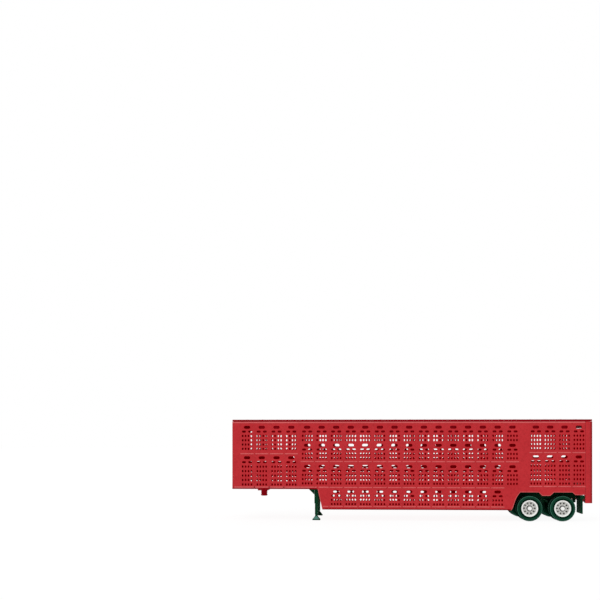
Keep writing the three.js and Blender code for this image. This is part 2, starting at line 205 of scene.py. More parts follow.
# Painted highlight: a paler copy of the tyre green for a ring below each tyre's shoulder.
TYRE_HIGHLIGHT = moulded_plastic(
    "tyre_painted_highlight", roughness=0.42,
    shade=(0.018, 0.095, 0.060), light=(0.030, 0.13, 0.085), dark=(0.006, 0.05, 0.03))
SILVER = moulded_plastic(
    "silver_plastic", roughness=0.30, worn=(0.86, 0.86, 0.84),
    shade=(0.76, 0.76, 0.73), light=(0.84, 0.84, 0.82), dark=(0.62, 0.62, 0.59))
# Painted shade: a darker copy of the silver for the recessed disc.
SHADED_DISC_SILVER = moulded_plastic(
    "disc_silver_painted_shade", roughness=0.35, worn=(0.66, 0.66, 0.64),
    shade=(0.50, 0.50, 0.47), light=(0.62, 0.62, 0.59), dark=(0.30, 0.30, 0.28))
# Painted shade: a darker silver still for the hand holes' walls, the disc's back and the bottom of the well
# round the hub.
SHADED_WELL_SILVER = moulded_plastic(
    "well_silver_painted_shade", roughness=0.4,
    shade=(0.32, 0.32, 0.31), light=(0.40, 0.40, 0.38), dark=(0.20, 0.20, 0.19))
STEEL = metal("steel", shade=(0.42, 0.42, 0.42), light=(0.55, 0.55, 0.54), roughness=0.32)

# The materials of pieces with more than one, and the names of their indices in a shape's marks.
BODY_REDS = (RED, HIGHLIGHT_RED, LIT_INSIDE_RED, SHADE_RED)
PLAIN, HIGHLIGHT, LIT_INSIDE, PAINTED_SHADE = range(4)
TYRE_GREENS = (TYRE, TYRE_SHADE, TYRE_HIGHLIGHT)
TREAD, IN_SHADE, RING_HIGHLIGHT = range(3)
# The rim's barrel takes the tyres' painted-shade green.
RIM_SILVERS = (SILVER, SHADED_DISC_SILVER, SHADED_WELL_SILVER, TYRE_SHADE)
BRIGHT, DISC_SHADE, WELL_SHADE, BARREL = range(4)
FOOT_GREENS = (GREEN, HIGHLIGHT_GREEN)
FOOT_HIGHLIGHT = 1


# ---- Mesh building ------------------------------------------------------------------------------

SHARP_DEG = 32  # faces that meet at more than this keep a hard edge
SAME_POINT = 1e-7  # points closer than this are one
POLE = 0.001  # the radius at which a turned profile closes on its axis
SUNK = -0.05  # raised strips start this far into the sheet that they stand on
BAR_SLOPE = 0.08  # width of a strip's sloping sides, or less on a low one


class Shape:
    """Vertices and faces in millimetres; each face has a material index."""

    def __init__(self):
        self.verts, self.faces, self.marks = [], [], []

    def add(self, verts, faces, mark=0):
        start = len(self.verts)
        self.verts += [Vector(v) for v in verts]
        self.faces += [[start + i for i in face] for face in faces]
        self.marks += [mark] * len(faces)
        return self

    def moved(self, matrix):
        """A copy moved by a matrix, turned right side out again if the matrix mirrors it."""
        copy = Shape()
        copy.verts = [matrix @ v for v in self.verts]
        flip = matrix.determinant() < 0
        copy.faces = [face[::-1] if flip else list(face) for face in self.faces]
        copy.marks = list(self.marks)
        return copy

    def join(self, other):
        start = len(self.verts)
        self.verts += other.verts
        self.faces += [[start + i for i in face] for face in other.faces]
        self.marks += other.marks
        return self


def piece(name, node, shape, materials, body):
    """A Blender object that stands for one CAD node and rides on its body."""
    mesh = bpy.data.meshes.new(name)
    mesh.from_pydata([v * MM for v in shape.verts], [], shape.faces)
    for material in materials:
        mesh.materials.append(material)
    mesh.polygons.foreach_set("material_index", shape.marks)
    mesh.shade_smooth()
    mesh.set_sharp_from_angle(angle=math.radians(SHARP_DEG))
    obj = bpy.data.objects.new(name, mesh)
    bpy.context.scene.collection.objects.link(obj)
    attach(obj, body)
    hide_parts(node)


def ring_faces(low, high, count):
    """Quads between two closed rings of count vertices that start at low and high."""
    return [[low + i, low + (i + 1) % count, high + (i + 1) % count, high + i] for i in range(count)]


def loft(rings, mark=0):
    """A closed solid through rings of equally many points, anticlockwise as seen from its far end."""
    count = len(rings[0])
    faces = [face for k in range(len(rings) - 1) for face in ring_faces(k * count, (k + 1) * count, count)]
    last = (len(rings) - 1) * count
    faces += [list(range(count))[::-1], [last + i for i in range(count)]]
    return Shape().add([p for ring in rings for p in ring], faces, mark)


def soft_box(low, high, chamfer):
    """A box from its lowest to its highest corner with chamfered edges all round."""
    (x0, y0, z0), (x1, y1, z1) = low, high
    c = min(chamfer, (x1 - x0) / 3, (y1 - y0) / 3, (z1 - z0) / 3)

    def octagon(inset, z):
        a, b, d, e = x0 + inset, x1 - inset, y0 + inset, y1 - inset
        return [(a + c, d, z), (b - c, d, z), (b, d + c, z), (b, e - c, z),
                (b - c, e, z), (a + c, e, z), (a, e - c, z), (a, d + c, z)]

    return loft([octagon(c, z0), octagon(0, z0 + c), octagon(0, z1 - c), octagon(c, z1)])


def turned(profile, segments, marks=None):
    """A closed [radius, y] loop turned about Y; the loop runs towards +Y along its outer side.

    marks holds the material index of each stretch of the profile.
    """
    count = len(profile)
    verts = []
    for i in range(segments):
        a = 2 * math.pi * i / segments
        verts += [(r * math.sin(a), y, r * math.cos(a)) for r, y in profile]
    faces = []
    for i in range(segments):
        here, there = i * count, (i + 1) % segments * count
        for k in range(count):
            following = (k + 1) % count
            faces.append([here + k, here + following, there + following, there + k])
    shape = Shape().add(verts, faces)
    if marks:
        shape.marks = list(marks) * segments
    return shape


def standing_at(x, y):
    """Stands a shape that was turned about Y upright, its axis at x and y."""
    return Matrix.Translation((x, y, 0)) @ Matrix.Rotation(math.pi / 2, 4, "X")


def stadium(cx, cz, width, height, grow=0.0, steps=3):
    """A slot with round ends as a ring of points; grow widens it all round."""
    r = min(width, height) / 2
    arm_x, arm_z = width / 2 - r, height / 2 - r
    points = []
    for quarter, (sx, sz) in enumerate(((1, 1), (-1, 1), (-1, -1), (1, -1))):
        # Without a straight side between them, two quarters share a point.
        skip = 1 if (arm_z if quarter % 2 == 0 else arm_x) < SAME_POINT else 0
        for i in range(skip, steps + 1):
            a = (quarter + i / steps) * math.pi / 2
            x = cx + sx * arm_x + (r + grow) * math.cos(a)
            z = cz + sz * arm_z + (r + grow) * math.sin(a)
            points.append((x, z))
    return points


def circle(cx, cz, radius, steps, grow=0.0):
    """A ring of points; grow widens it."""
    return [(cx + (radius + grow) * math.cos(2 * math.pi * i / steps),
             cz + (radius + grow) * math.sin(2 * math.pi * i / steps)) for i in range(steps)]


def sheet_faces(loops, inner_points=()):
    """Triangles between an outer loop and the convex hole loops inside it, as indices into all points."""
    points = [Vector(p) for loop in loops for p in loop] + [Vector(p) for p in inner_points]
    edges, hole_of = [], []
    for number, loop in enumerate(loops):
        start = len(hole_of)
        edges += [(start + i, start + (i + 1) % len(loop)) for i in range(len(loop))]
        hole_of += [number] * len(loop)
    hole_of += [0] * len(inner_points)
    _, _, triangles, origin, _, _ = delaunay_2d_cdt(points, edges, [], 1, SAME_POINT)
    faces = [[origin[i][0] for i in triangle] for triangle in triangles]
    return [f for f in faces if hole_of[f[0]] == 0 or len({hole_of[i] for i in f}) > 1]


def perforated(outline, holes, depth, chamfer, marks, inner_points=(), face_at=lambda u, v: 0.0):
    """A plate with chamfered holes. Its outer face is at w = face_at(u, v) and it is depth thick, towards -w.

    outline is a loop of points, and each hole is a function that gives its loop for a growth all round.
    marks holds the material index of the face and rim, and that of the back and the holes' walls.
    """
    outside, inside = marks
    front = [outline] + [hole(chamfer) for hole in holes]
    throat = [hole(0.0) for hole in holes]
    flat = [p for loop in front for p in loop] + list(inner_points)
    faces = sheet_faces(front, inner_points)
    count = len(flat)
    verts = [(u, v, face_at(u, v)) for u, v in flat] + [(u, v, face_at(u, v) - depth) for u, v in flat]
    back = [[count + i for i in face[::-1]] for face in faces]
    rim_faces = [f[::-1] for f in ring_faces(0, count, len(outline))]
    shape = Shape().add(verts, faces + rim_faces + back)
    shape.marks = [outside] * len(faces + rim_faces) + [inside] * len(back)
    start = len(outline)
    for loop in throat:
        n = len(loop)
        rim = len(shape.verts)
        shape.verts += [Vector((u, v, face_at(u, v) - chamfer)) for u, v in loop]
        walls = ring_faces(start, rim, n) + ring_faces(rim, count + start, n)
        shape.faces += walls
        shape.marks += [inside] * len(walls)
        start += n
    return shape


def bar(x0, x1, z0, z1, top, mark=PLAIN):
    """A strip raised to w = top, with sloping sides, over a rectangle of a plate."""
    c = min(BAR_SLOPE, 0.8 * top)
    rings = [[(a, b, w) for a, b in ((x0 + i, z0 + i), (x1 - i, z0 + i), (x1 - i, z1 - i), (x0 + i, z1 - i))]
             for i, w in ((0, SUNK), (0, top - c), (c, top))]
    return loft(rings, mark)


def bead(path, width, top, mark):
    """A raised strip along a path of a plate, on the path's left side."""
    across = []
    for i, (x, z) in enumerate(path):
        (xa, za), (xb, zb) = path[max(i - 1, 0)], path[min(i + 1, len(path) - 1)]
        length = math.hypot(xb - xa, zb - za)
        across.append((x - (zb - za) / length * width, z + (xb - xa) / length * width))
    rings = [[(x, z, SUNK), (x, z, top), (a, b, top), (a, b, SUNK)] for (x, z), (a, b) in zip(path, across)]
    return loft(rings, mark)


def outwards_on(side, y):
    """Stands a plate drawn as X, Z and outward depth on the trailer's side, its w = 0 at |Y| = y."""
    return Matrix(((1, 0, 0, 0), (0, 0, side, side * y), (0, 1, 0, 0), (0, 0, 0, 1)))


# ---- Side walls ---------------------------------------------------------------------------------

RELIEF = 0.14  # the top rail and the long ridges stand out this far from the wall's sheet
POST_RELIEF = 0.09  # and the posts, the other rails and the lower lines this far
TRIM_INSET = 0.02  # trim along an edge stops this far short of it
RIM_CHAMFER = 0.05  # round every hole

SLOT_SIZE = (3.05, 1.4)
PAIR_SIZE = (1.85, 0.98)
PAIR_OFFSET = 1.46
HOLE_SIZE = (0.8, 1.15)
HOLE_PITCH = 1.39
HOLES_IN_ROW = 4

# Each section: first panel's middle, pitch, number of panels, heights of its long ridges, and tiers of
# holes as (slot height, lowest row's height, rows of small holes). The belly has its own section, which
# starts below the third panel of the middle.
MIDDLE_X = -48.6
MIDDLE_PITCH = 6.857
WALL_SECTIONS = (
    (-77.1, 7.0, 4, (31.5,), ((44.0, 33.8, 4), (29.6, 16.95, 5))),
    (MIDDLE_X, MIDDLE_PITCH, 15, (27.85,), ((44.0, 37.95, 2), (35.5, 29.45, 2), (25.5, 17.5, 3))),
    (MIDDLE_X + 2 * MIDDLE_PITCH, MIDDLE_PITCH, 12, (15.65, 6.7), ((13.7, 7.8, 2),)),
    (58.2, 6.6, 4, (32.15, 16.35), ((44.0, 34.05, 4), (30.1, 17.7, 5))),
)

RIDGE_HEIGHT = 0.5
RIDGE_GAP = 0.65  # between the ridges of neighbouring panels
POST_WIDTH = 0.6
POST_BELOW_ROWS = 1.7  # posts start this far below the middle of the lowest row
UPPER_POST_TOP = 0.7  # below the wall's top edge
BELLY_POST_TOP_Z = 15.3
TOP_RAIL = (0.65, 0.05)  # its edges, below the wall's top edge
NOSE_POST_WIDTH = 0.8
NOSE_RAIL_START = 0.9  # behind the wall's front edge
NOSE_RAIL_END_X = -44.0
NOSE_RAIL_Z = (15.4, 16.0)
BELLY_TOP_RAIL_X = (-43.2, -38.4)  # level with the nose's rail, ahead of the belly's first ridge
BELLY_LOW_RAIL_X = (-41.2, -38.5)
BELLY_RAIL_Z = (6.45, 6.95)
LOWER_LIP = 0.55  # height of the painted-shade line, a darker red, along the wall's lower edge
NOSE_LIP_END_X = -43.9
BELLY_LIP_START_X = -41.2
BEAD_WIDTH = 0.28
BEAD_RELIEF = RELIEF * 0.6

# The wall's lower edge from the belly back.
STEP_X = (-43.6, -41.45)  # top and bottom of the belly's slanted front
BELLY_OVERHANG = 0.2  # of the wall behind the belly's floor
BELLY_CURVE = ((48.3, 6.6), (47.9, 10.2))  # handles of the curve from the belly up to the first arch
BELLY_CURVE_STEPS = 8
ARCH_Z = 13.6
FRONT_ARCH_X = (51.0, 59.5)
REAR_ARCH_X = (66.5, 75.0)
DIP_X = (61.2, 64.8)  # between the wheels
DIP_Z = 12.0
TAIL_START_X = 76.5
TAIL_Z = 12.4


def small_hole(x, z):
    return partial(stadium, x, z, *HOLE_SIZE, steps=2)


def panel_holes(x, tiers):
    """The holes of one panel: in each tier a slot, a pair of short slots, then rows of small upright ones."""
    holes = []
    for slot_z, last_z, rows in tiers:
        step = (slot_z - last_z) / (rows + 1)
        holes.append(partial(stadium, x, slot_z, *SLOT_SIZE))
        holes += [partial(stadium, x + s * PAIR_OFFSET, slot_z - step, *PAIR_SIZE) for s in (-1, 1)]
        for row in range(rows):
            z = slot_z - step * (row + 2)
            row_x = x - (HOLES_IN_ROW - 1) / 2 * HOLE_PITCH
            holes += [small_hole(row_x + k * HOLE_PITCH, z) for k in range(HOLES_IN_ROW)]
    return holes


def bezier(p0, p1, p2, p3, steps):
    """Points along a cubic curve, without its first."""
    points = []
    for i in range(1, steps + 1):
        t = i / steps
        weights = ((1 - t) ** 3, 3 * t * (1 - t) ** 2, 3 * t * t * (1 - t), t ** 3)
        points.append(tuple(sum(w * p[k] for w, p in zip(weights, (p0, p1, p2, p3))) for k in (0, 1)))
    return points


def step_edge():
    """The slanted front of the belly in X and Z, from the nose's underside down."""
    return [(STEP_X[0], box_mm("front_wall")[0].z), (STEP_X[1], box_mm("left_side_wall")[0].z)]


def arch_edge():
    """The wall's lower edge behind the belly: up and over both wheels, then level to the tail."""
    low, high = box_mm("left_side_wall")
    belly_end = (box_mm("belly_floor")[1].x + BELLY_OVERHANG, low.z)
    arch_start = (FRONT_ARCH_X[0], ARCH_Z)
    points = [belly_end] + bezier(belly_end, *BELLY_CURVE, arch_start, BELLY_CURVE_STEPS)
    points.append((FRONT_ARCH_X[1], ARCH_Z))
    points += [(x, DIP_Z) for x in DIP_X]
    points += [(x, ARCH_Z) for x in REAR_ARCH_X]
    return points + [(TAIL_START_X, TAIL_Z), (high.x, TAIL_Z)]


def wall_trim():
    """The raised trim: posts between panels, long ridges, rails, a nose post, lower lines and the bead. The
    ridges, rails and beads carry a painted highlight, a paler red, and the lower lines painted shade, a
    darker red.
    """
    low, high = box_mm("left_side_wall")
    start_x, end_x = low.x + TRIM_INSET, high.x - TRIM_INSET
    upper_top = high.z - UPPER_POST_TOP
    trim = Shape()
    for first, pitch, count, ridges, tiers in WALL_SECTIONS:
        top = upper_top if tiers[0][0] > BELLY_POST_TOP_Z else BELLY_POST_TOP_Z
        bottom = tiers[-1][1] - POST_BELOW_ROWS
        for k in range(1, count):
            x = first + (k - 0.5) * pitch
            trim.join(bar(x - POST_WIDTH / 2, x + POST_WIDTH / 2, bottom, top, POST_RELIEF))
        for z in ridges:
            for k in range(count):
                x, half = first + k * pitch, (pitch - RIDGE_GAP) / 2
                trim.join(bar(x - half, x + half, z - RIDGE_HEIGHT / 2, z + RIDGE_HEIGHT / 2, RELIEF, HIGHLIGHT))
    trim.join(bar(start_x, end_x, high.z - TOP_RAIL[0], high.z - TOP_RAIL[1], RELIEF, HIGHLIGHT))
    trim.join(bar(start_x, low.x + NOSE_POST_WIDTH, NOSE_RAIL_Z[0], upper_top, POST_RELIEF))
    for rail_x, rail_z in (((low.x + NOSE_RAIL_START, NOSE_RAIL_END_X), NOSE_RAIL_Z),
                           (BELLY_TOP_RAIL_X, NOSE_RAIL_Z), (BELLY_LOW_RAIL_X, BELLY_RAIL_Z)):
        trim.join(bar(*rail_x, *rail_z, POST_RELIEF, HIGHLIGHT))
    nose_z = box_mm("front_wall")[0].z
    belly_x = box_mm("belly_floor")[1].x
    for x0, x1, z in ((start_x, NOSE_LIP_END_X, nose_z), (BELLY_LIP_START_X, belly_x, low.z)):
        trim.join(bar(x0, x1, z + TRIM_INSET, z + LOWER_LIP, POST_RELIEF, PAINTED_SHADE))
    for path in (step_edge(), arch_edge()):
        trim.join(bead(path, BEAD_WIDTH, BEAD_RELIEF, HIGHLIGHT))
    return trim


def side_wall(side):
    """One wall, drawn as X, Z and outwards depth, then stood up on its side of the trailer."""
    low, high = box_mm("right_side_wall")
    holes = [hole for first, pitch, count, _, tiers in WALL_SECTIONS for k in range(count)
             for hole in panel_holes(first + k * pitch, tiers)]
    outline = [(low.x, step_edge()[0][1])] + step_edge() + arch_edge() + [(high.x, high.z), (low.x, high.z)]
    # The wall's inner face and the holes' walls take the red with painted light.
    shape = perforated(outline, holes, high.y - low.y - RELIEF, RIM_CHAMFER, (PLAIN, LIT_INSIDE))
    return shape.join(wall_trim()).moved(outwards_on(side, high.y - RELIEF))


for label, side in SIDES.items():
    piece(f"{label}_wall", f"{label}_side_wall", side_wall(side), BODY_REDS, "trailer")


# ---- Roof and nose ------------------------------------------------------------------------------

ROOF_CROWN = 0.2
ROOF_ROLL = 0.12  # size of the rolled edge at the roof's two ends
ROOF_STEPS = 12  # across the crown
ROOF_BAYS = 24  # with a rib between each two
ROOF_RIB_RISE = 0.1
ROOF_RIB_FOOT = 0.3  # half of the rib's width at its foot
ROOF_RIB_TOP = 0.15  # and at its top


def roof():
    """A thin crowned roof with rolled ends; low ribs cross its crown and fade out before its edges."""
    low, high = box_mm("roof")
    edge_z = high.z - ROOF_CROWN
    hollow = ROOF_CROWN - ROOF_RIB_RISE

    def section(x, crown, inset=0.0):
        half = high.y - inset
        arc = [(x, half * math.cos(math.pi * i / ROOF_STEPS),
                edge_z - inset + crown * math.sin(math.pi * i / ROOF_STEPS)) for i in range(ROOF_STEPS + 1)]
        return [(x, -half, low.z), (x, half, low.z)] + arc

    rings = [section(low.x, hollow, ROOF_ROLL), section(low.x + ROOF_ROLL, hollow)]
    bay = (high.x - low.x) / ROOF_BAYS
    for k in range(1, ROOF_BAYS):
        x = low.x + k * bay
        rings += [section(x - ROOF_RIB_FOOT, hollow), section(x - ROOF_RIB_TOP, ROOF_CROWN),
                  section(x + ROOF_RIB_TOP, ROOF_CROWN), section(x + ROOF_RIB_FOOT, hollow)]
    rings += [section(high.x - ROOF_ROLL, hollow), section(high.x, hollow, ROOF_ROLL)]
    return loft(rings)


# The roof takes the painted-shade red.
piece("roof_skin", "roof", roof(), (SHADE_RED,), "trailer")

END_RELIEF = 0.15  # of the trim on the nose's front and on the doors
FRONT_FRAME = 0.8  # width of the frame round the front
FRONT_STILE_END = 0.9  # the frame's uprights end this far from the panel's edges
FRONT_RIBS = 9
FRONT_RIB_HEIGHT = 0.5
FRONT_RIB_INSET = 1.6  # from the panel's sides


def border(low, high, rail, stile, stile_end):
    """A raised frame inside a plate's edges: level rails, and uprights that end stile_end from the edges."""
    (x0, z0), (x1, z1) = low, high
    shape = Shape()
    for z in (z0 + TRIM_INSET, z1 - TRIM_INSET - rail):
        shape.join(bar(x0 + TRIM_INSET, x1 - TRIM_INSET, z, z + rail, END_RELIEF))
    for x in (x0 + TRIM_INSET, x1 - TRIM_INSET - stile):
        shape.join(bar(x, x + stile, z0 + stile_end, z1 - stile_end, END_RELIEF))
    return shape


def front_panel():
    """The nose's front: a sheet with a frame round it and level ribs, drawn as Y, Z and forward depth."""
    low, high = box_mm("front_wall")
    x0, x1, z0, z1 = low.y, high.y, low.z, high.z
    back = low.x - high.x + END_RELIEF
    sheet = loft([[(x0, z0, w), (x1, z0, w), (x1, z1, w), (x0, z1, w)] for w in (back, 0)])
    sheet.join(border((x0, z0), (x1, z1), FRONT_FRAME, FRONT_FRAME, FRONT_STILE_END))
    pitch = (z1 - z0) / (FRONT_RIBS + 1)
    for k in range(1, FRONT_RIBS + 1):
        z = z0 + k * pitch - FRONT_RIB_HEIGHT / 2
        # The ribs carry the painted highlight, a paler red.
        sheet.join(bar(x0 + FRONT_RIB_INSET, x1 - FRONT_RIB_INSET, z, z + FRONT_RIB_HEIGHT,
                       END_RELIEF, HIGHLIGHT))
    forwards = Matrix(((0, 0, -1, low.x + END_RELIEF), (1, 0, 0, 0), (0, 1, 0, 0), (0, 0, 0, 1)))
    return sheet.moved(forwards)


piece("nose_panel", "front_wall", front_panel(), BODY_REDS, "trailer")


# ---- Rear frame and doors -----------------------------------------------------------------------

POST_INSIDE = 12.55
SILL_Z = (14.9, 16.6)
HEADER_BOTTOM_Z = 43.8
FRAME_OVERLAP = 0.3  # of the sill and the header into each post
FRAME_SETBACK = 0.05  # of their faces from the posts' faces
FRAME_EDGE = 0.1
CORNER_RELIEF = 0.12
CORNER_LINE_X = (82.7, 82.95)  # a raised line down the side of each rear post
CORNER_EDGE_X = (83.4, 84.0)  # a raised strip of painted shade, a darker red, along its rear edge


def rear_frame():
    """Two posts, a sill and a header with softened edges; the posts carry two lines down their sides."""
    low, high = box_mm("rear_frame")
    half = high.y - CORNER_RELIEF
    reach = POST_INSIDE + FRAME_OVERLAP
    shape = Shape()
    for z0, z1 in (SILL_Z, (HEADER_BOTTOM_Z, high.z)):
        front, back = low.x + FRAME_SETBACK, high.x - FRAME_SETBACK
        shape.join(soft_box((front, -reach, z0), (back, reach, z1), FRAME_EDGE))
    for side in SIDES.values():
        inner, outer = sorted((side * POST_INSIDE, side * half))
        shape.join(soft_box((low.x, inner, low.z), (high.x, outer, high.z), FRAME_EDGE))
        for line_x, mark in ((CORNER_LINE_X, PLAIN), (CORNER_EDGE_X, PAINTED_SHADE)):
            line = bar(*line_x, low.z + FRAME_EDGE, high.z - FRAME_EDGE, CORNER_RELIEF, mark)
            shape.join(line.moved(outwards_on(side, half)))
    return shape


piece("rear_portal", "rear_frame", rear_frame(), BODY_REDS, "trailer")

DOOR_SLOT = (2.7, 1.05)
DOOR_COLUMNS = (3.6, 6.6, 9.6)
DOOR_TIERS = (41.2, 32.4, 23.6)
DOOR_ROWS = 3
DOOR_ROW_STEP = 1.75
DOOR_RAIL = 0.7
DOOR_STILE = 0.6
DOOR_STILE_END = 0.75
DOOR_RIDGE_HEIGHT = 0.5
DOOR_RIDGE_INSET = (1.0, 0.9)  # from the leaf's inner edge and from its edge at the hinge
HINGE_GAP = 0.23  # from the pin's axis to the leaf's edge
KNUCKLE_BORE = 0.22
KNUCKLE_SEGMENTS = 24


def knuckle(label):
    """The tube round a door's hinge pin, as high as the door."""
    low, high = box_mm(f"{label}_door")
    pin = centre_of(f"{label}_hinge_pin")
    radius = (high.x - low.x) / 2
    profile = [(KNUCKLE_BORE, low.z), (radius, low.z), (radius, high.z), (KNUCKLE_BORE, high.z)]
    return turned(profile, KNUCKLE_SEGMENTS).moved(standing_at(pin.x, pin.y))


def door_leaf(label, side):
    """A perforated leaf with a raised border and ridges, and a knuckle along its hinge pin."""
    low, high = box_mm(f"{label}_door")
    inner = min(abs(low.y), abs(high.y))
    edge = abs(centre_of(f"{label}_hinge_pin").y) - HINGE_GAP
    holes = []
    for slot_z in DOOR_TIERS:
        for u in DOOR_COLUMNS:
            holes.append(partial(stadium, u, slot_z, *DOOR_SLOT))
            for row in range(1, DOOR_ROWS + 1):
                holes += [small_hole(u + s * HOLE_PITCH / 2, slot_z - row * DOOR_ROW_STEP) for s in (-1, 1)]
    corners = [(inner, low.z), (edge, low.z), (edge, high.z), (inner, high.z)]
    # The leaf's inner face and the holes' walls take the red with painted light.
    leaf = perforated(corners, holes, high.x - low.x - END_RELIEF, RIM_CHAMFER, (PLAIN, LIT_INSIDE))
    leaf.join(border(corners[0], corners[2], DOOR_RAIL, DOOR_STILE, DOOR_STILE_END))
    # The ridges carry the painted highlight, a paler red.
    for slot_z in DOOR_TIERS[:-1]:
        z = slot_z - (DOOR_ROWS + 1) * DOOR_ROW_STEP - DOOR_RIDGE_HEIGHT / 2
        leaf.join(bar(inner + DOOR_RIDGE_INSET[0], edge - DOOR_RIDGE_INSET[1], z, z + DOOR_RIDGE_HEIGHT,
                      END_RELIEF, HIGHLIGHT))
    backwards = Matrix(((0, 0, 1, high.x - END_RELIEF), (side, 0, 0, 0), (0, 1, 0, 0), (0, 0, 0, 1)))
    return leaf.moved(backwards).join(knuckle(label))


LEVER_THICKNESS = 0.2
LEVER_INSET = 0.2  # from the sides of the standoffs
LEVER_EDGE = 0.06
STANDOFF_HEIGHT = 0.9
STANDOFF_INSET = 0.2  # from the lever's ends
STANDOFF_SETBACK = 0.15  # from the lever's face
STANDOFF_EDGE = 0.05
GRIP_HEIGHT = 1.0
GRIP_THICKNESS = 0.3
GRIP_INSET = 0.05


def door_handle(node):
    """A flat lever on two standoffs, with a wider grip in its middle."""
    low, high = box_mm(node)
    lever = soft_box((high.x - LEVER_THICKNESS, low.y + LEVER_INSET, low.z),
                     (high.x, high.y - LEVER_INSET, high.z), LEVER_EDGE)
    for z in (low.z + STANDOFF_INSET, high.z - STANDOFF_INSET - STANDOFF_HEIGHT):
        lever.join(soft_box((low.x, low.y, z), (high.x - STANDOFF_SETBACK, high.y, z + STANDOFF_HEIGHT),
                            STANDOFF_EDGE))
    grip_z = centre_of(node).z - GRIP_HEIGHT / 2
    grip = soft_box((high.x - GRIP_THICKNESS, low.y + GRIP_INSET, grip_z),
                    (high.x, high.y - GRIP_INSET, grip_z + GRIP_HEIGHT), LEVER_EDGE)
    return lever.join(grip)


for label, side in SIDES.items():
    body = f"{label}_rear_door"
    piece(f"{label}_door_leaf", f"{label}_door", door_leaf(label, side), BODY_REDS, body)
    node = f"{label}_door_handle"
    piece(f"{label}_door_lever", node, door_handle(node), (STEEL,), body)


# ---- Wheels -------------------------------------------------------------------------------------

RIM_RADIUS = 3.9
RIM_LIP = 3.2  # inner radius of the rim's lip
RIM_SEGMENTS = 64
TYRE_BORE = RIM_RADIUS + 0.05

TREAD_BLOCKS = 44
BLOCK_STEPS = 3  # the first of each block's is cut in at the shoulders
SHOULDER_CUT = 0.13
SHOULDER_FROM = 0.55  # share of the half width where the shoulder starts
SHOULDER_DEPTH = 0.2  # only what is nearer to the tread than this is cut

DISC_STEPS = 48
DISC_THICKNESS = 0.3
DISC_EDGE = RIM_LIP - 0.05
DISC_SETBACK = 0.45  # of the disc's edge behind the rim's outer face
DISH_DEPTH = 0.6  # of the disc behind its own edge
DISH_SLOPE = 0.5  # width of the slope down to it
BOSS_RADIUS = 2.0  # the raised middle, which carries the nuts
BOSS_HEIGHT = 0.45
BOSS_SLOPE = 0.35  # width of the slope up to it
SLOPE_POINTS_FROM_EDGE = (0.15, 0.35)  # rings of extra points that let the disc bend
SLOPE_POINTS_AT = (1.98, 1.8, 1.62)
HAND_HOLES = 10
HAND_HOLE_RADIUS = 0.4
HAND_HOLE_AT = 2.45
HAND_HOLE_STEPS = 14
HAND_HOLE_CLEAR = 0.52  # extra points keep this far from a hand hole's middle

NUTS = 10
NUT_CIRCLE = 1.68
NUT_SIDES = 6
HUB_RADIUS = 0.88
HUB_BORE = 0.68
HUB_SEGMENTS = 32
WELL_RADIUS = 1.42  # the disc's centre hole, which leaves a dark ring round the hub, its bottom darkened further by painted shade
WELL_STEPS = 32

# Profiles inside a rim, as radius and depth behind its outer face.
WELL_PROFILE = ((HUB_BORE, 2.2), (RIM_LIP - 0.2, 2.2), (RIM_LIP - 0.2, 1.9), (HUB_BORE, 1.9))
HUB_PROFILE = ((HUB_BORE, 1.95), (HUB_RADIUS, 1.95), (HUB_RADIUS, 0.25), (HUB_RADIUS - 0.1, 0.12),
               (HUB_BORE, 0.12))
NUT_PROFILE = ((POLE, 0.9), (0.15, 0.9), (0.15, 0.5), (0.09, 0.42), (POLE, 0.42))


def tyre_profile(radius):
    """Half of a tyre's section from the bore out: radius, share of the half width, next stretch's mark."""
    # The darker stretches, in the sidewall's groove, over the shoulders and across the tread, are painted
    # shade.
    sidewall = [(TYRE_BORE, 0.80, TREAD), (TYRE_BORE + 0.08, 0.94, TREAD),
                (TYRE_BORE + 0.25, 0.95, IN_SHADE), (TYRE_BORE + 0.35, 0.80, IN_SHADE),
                (TYRE_BORE + 0.62, 0.82, IN_SHADE), (TYRE_BORE + 0.72, 0.96, TREAD),
                (TYRE_BORE + 1.05, 1.0, TREAD), (TYRE_BORE + 1.22, 0.99, TREAD),
                (TYRE_BORE + 1.32, 0.90, TREAD)]
    # The stretch just below each shoulder is a painted highlight, a paler green.
    shoulder = [(radius - 0.45, 0.86, RING_HIGHLIGHT), (radius - 0.16, 0.80, IN_SHADE), (radius, 0.66, IN_SHADE)]
    tread_groove = [(radius, 0.36, IN_SHADE), (radius - 0.18, 0.33, IN_SHADE), (radius - 0.18, 0.23, IN_SHADE),
                    (radius, 0.20, IN_SHADE)]
    return sidewall + shoulder + tread_groove


def tyre(node):
    """A tyre along Y about its own middle: ribbed tread with cut shoulders, and rings on its sidewalls."""
    low, high = box_mm(node)
    radius, half = (high.z - low.z) / 2, (high.y - low.y) / 2
    there = tyre_profile(radius)
    profile = [(r, -share * half) for r, share, _ in there]
    profile += [(r, share * half) for r, share, _ in there[::-1]]
    marks = [mark for _, _, mark in there] + [mark for _, _, mark in there[-2::-1]] + [TREAD]
    shape = turned(profile, TREAD_BLOCKS * BLOCK_STEPS, marks)
    count = len(profile)
    for i, vertex in enumerate(shape.verts):
        segment = i // count
        reach = math.hypot(vertex.x, vertex.z)
        on_shoulder = reach > radius - SHOULDER_DEPTH and abs(vertex.y) > SHOULDER_FROM * half
        if segment % BLOCK_STEPS == 0 and on_shoulder:
            shrink = (reach - SHOULDER_CUT) / reach
            vertex.x, vertex.z = vertex.x * shrink, vertex.z * shrink
    return shape


def smooth(t):
    """0 below 0 and 1 above 1, with a smooth rise between them."""
    t = min(1.0, max(0.0, t))
    return t * t * (3 - 2 * t)


def hand_middle(k):
    a = 2 * math.pi * k / HAND_HOLES
    return (HAND_HOLE_AT * math.cos(a), HAND_HOLE_AT * math.sin(a))


